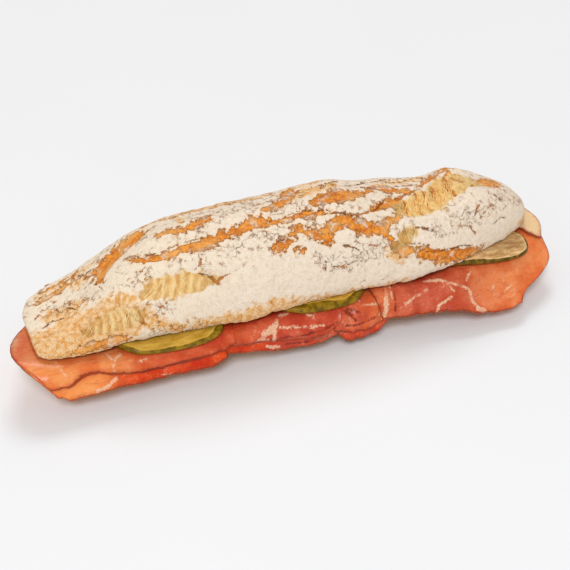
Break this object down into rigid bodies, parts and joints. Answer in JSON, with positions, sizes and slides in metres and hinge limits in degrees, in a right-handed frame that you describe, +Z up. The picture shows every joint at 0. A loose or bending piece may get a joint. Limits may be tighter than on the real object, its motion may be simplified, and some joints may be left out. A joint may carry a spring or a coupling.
{
  "type": "submarine sandwich",
  "caption": "Long floured bread roll, split and filled with thin cured ham that hangs over the front edge and with long gherkin slices.",
  "frame": {"origin": "on the table, under the middle of the loaf, in the lower crust's flat base", "axes": "+X along the loaf, -Y towards the side where the ham hangs out, +Z up"},
  "size_m": [0.3074, 0.0994, 0.0746],
  "materials": {
    "floured_crust": "baked crust dusted with flour",
    "lower_crust": "baked crust, lightly floured",
    "cured_ham": "moist, marbled with fat",
    "gherkin": "wet"
  },
  "bodies": {
    "root": {"bread_upper": "floured_crust", "bread_lower": "lower_crust", "ham_left_lower": "cured_ham", "ham_left_upper": "cured_ham", "ham_middle_lower": "cured_ham", "ham_middle_upper": "cured_ham", "ham_fold_lower": "cured_ham", "ham_fold_upper": "cured_ham", "ham_right_lower": "cured_ham", "ham_right_upper": "cured_ham", "gherkin_left": "gherkin", "gherkin_middle": "gherkin", "gherkin_right": "gherkin"}
  },
  "joints": []
}
